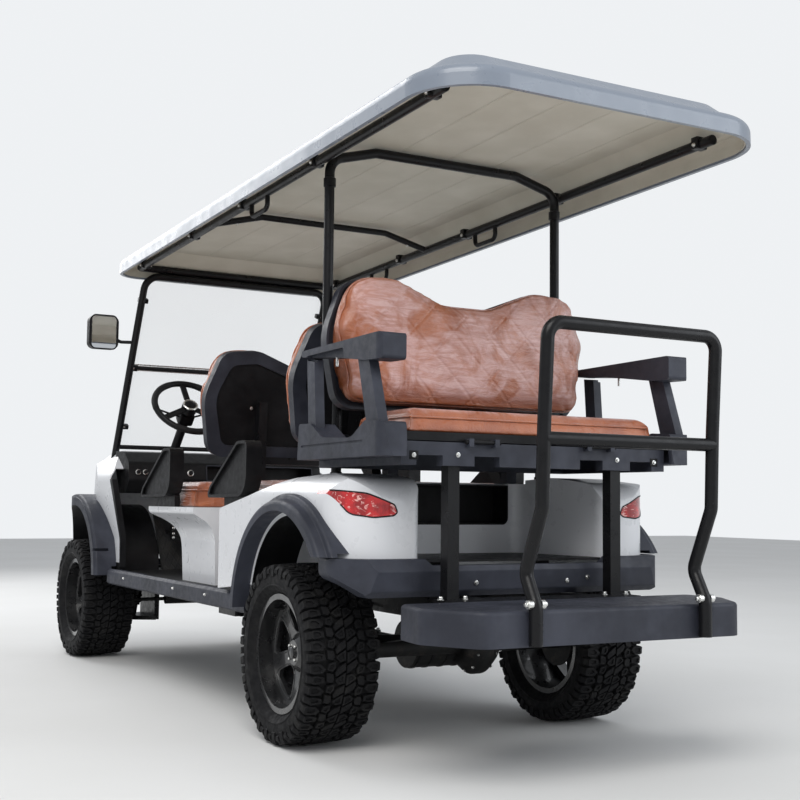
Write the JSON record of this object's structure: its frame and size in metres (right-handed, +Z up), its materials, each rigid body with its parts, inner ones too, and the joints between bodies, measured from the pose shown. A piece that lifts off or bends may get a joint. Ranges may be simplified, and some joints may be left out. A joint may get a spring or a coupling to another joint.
{
  "type": "golf cart",
  "caption": "Lifted golf cart with two forward bench seats, a rear-facing flip seat with step and grab hoop, long roof, folding windscreen and off-road wheels.",
  "frame": {"origin": "centre of the bounding box's footprint, on the ground", "axes": "+X towards the front, +Y to the driver's left, +Z up"},
  "size_m": [4.007, 1.394, 2.0259],
  "materials": {
    "tyre": "moulded rubber",
    "rim_black": "gloss black over pressed steel",
    "black_steel": "satin black powder coat",
    "floor_rubber": "diamond pattern mat",
    "grey_plastic": "moulded dark grey, slightly rough",
    "axle_iron": "dull black casting",
    "black_plastic": "moulded black",
    "white_panel": "gloss white body panel",
    "red_lens": "moulded red lens",
    "clear_lens": "clear lens",
    "brown_vinyl": "saddle brown vinyl",
    "roof_gloss": "gloss blue-grey",
    "cream_liner": "matt cream liner",
    "clear_acrylic": "clear acrylic sheet"
  },
  "bodies": {
    "chassis": {"chassis_frame": "black_steel", "floor_pan": "floor_rubber", "side_sills": "grey_plastic", "rear_axle": "axle_iron", "leaf_springs": "black_steel", "front_suspension": "black_steel", "steering_rack": "axle_iron", "steering_column": "black_plastic", "pedals": "black_steel", "rear_body": "white_panel", "tail_lamps": "red_lens", "cargo_well": "black_plastic", "rear_bumper": "grey_plastic", "rear_flares": "grey_plastic", "front_flares": "grey_plastic", "front_cowl": "white_panel", "headlamps": "clear_lens", "doorway_trim": "black_plastic", "front_bumper": "grey_plastic", "dashboard": "black_plastic", "seat_box": "white_panel", "front_cushion": "brown_vinyl", "middle_cushion": "brown_vinyl", "front_back_pad": "brown_vinyl", "middle_back_pad": "brown_vinyl", "rear_back_pad": "brown_vinyl", "seat_back_shells": "black_plastic", "hip_restraints": "black_plastic", "seat_frames": "black_steel", "battery_pack": "black_plastic", "rear_deck": "grey_plastic", "rear_armrests": "grey_plastic", "rear_step": "grey_plastic", "rear_hoop": "black_steel", "roof_shell": "roof_gloss", "roof_liner": "cream_liner", "roof_rails": "black_steel", "roof_posts": "black_steel", "windscreen_frame": "black_steel", "windscreen_panes": "clear_acrylic", "mirrors": "black_plastic"},
    "wheel_front_left": {"tyre_front_left": "tyre", "rim_front_left": "rim_black"},
    "wheel_front_right": {"tyre_front_right": "tyre", "rim_front_right": "rim_black"},
    "wheel_rear_left": {"tyre_rear_left": "tyre", "rim_rear_left": "rim_black"},
    "wheel_rear_right": {"tyre_rear_right": "tyre", "rim_rear_right": "rim_black"},
    "knuckle_left": {"knuckle_left": "axle_iron"},
    "knuckle_right": {"knuckle_right": "axle_iron"},
    "tie_rod": {"tie_rod": "axle_iron"},
    "steering_wheel": {"steering_wheel": "black_plastic"},
    "flip_seat": {"flip_board": "black_plastic", "rear_cushion": "brown_vinyl"}
  },
  "joints": [
    {"name": "steer_left", "type": "hinge", "parent": "chassis", "child": "knuckle_left", "pos_m": [1.5835, 0.43, 0.288], "axis": [0, 0, 1], "range_deg": [-28, 28]},
    {"name": "steer_right", "type": "hinge", "parent": "chassis", "child": "knuckle_right", "pos_m": [1.5835, -0.43, 0.288], "axis": [0, 0, 1], "range_deg": [-28, 28]},
    {"name": "tie_rod_slide", "type": "slide", "parent": "chassis", "child": "tie_rod", "axis": [0, 1, 0], "range_m": [-0.0587, 0.0587]},
    {"name": "steering_wheel_turn", "type": "hinge", "parent": "chassis", "child": "steering_wheel", "pos_m": [0.8335, 0.3, 1.205], "axis": [-0.7193, 0, 0.6947], "range_deg": [-392, 392]},
    {"name": "flip_seat_hinge", "type": "hinge", "parent": "chassis", "child": "flip_seat", "pos_m": [-1.5445, 0, 0.957], "axis": [0, -1, 0], "range_deg": [0, 180]},
    {"name": "wheel_front_left_spin", "type": "hinge", "parent": "knuckle_left", "child": "wheel_front_left", "pos_m": [1.5835, 0.51, 0.288], "axis": [0, 1, 0], "continuous": true},
    {"name": "wheel_front_right_spin", "type": "hinge", "parent": "knuckle_right", "child": "wheel_front_right", "pos_m": [1.5835, -0.51, 0.288], "axis": [0, 1, 0], "continuous": true},
    {"name": "wheel_rear_left_spin", "type": "hinge", "parent": "chassis", "child": "wheel_rear_left", "pos_m": [-0.9665, 0.52, 0.288], "axis": [0, 1, 0], "continuous": true},
    {"name": "wheel_rear_right_spin", "type": "hinge", "parent": "chassis", "child": "wheel_rear_right", "pos_m": [-0.9665, -0.52, 0.288], "axis": [0, 1, 0], "continuous": true}
  ],
  "couplings": [
    {"joint": "steer_right", "follows": "steer_left", "ratio": 1},
    {"joint": "tie_rod_slide", "follows": "steer_left", "m_per_rad": -0.12},
    {"joint": "steering_wheel_turn", "follows": "steer_left", "ratio": 14}
  ]
}
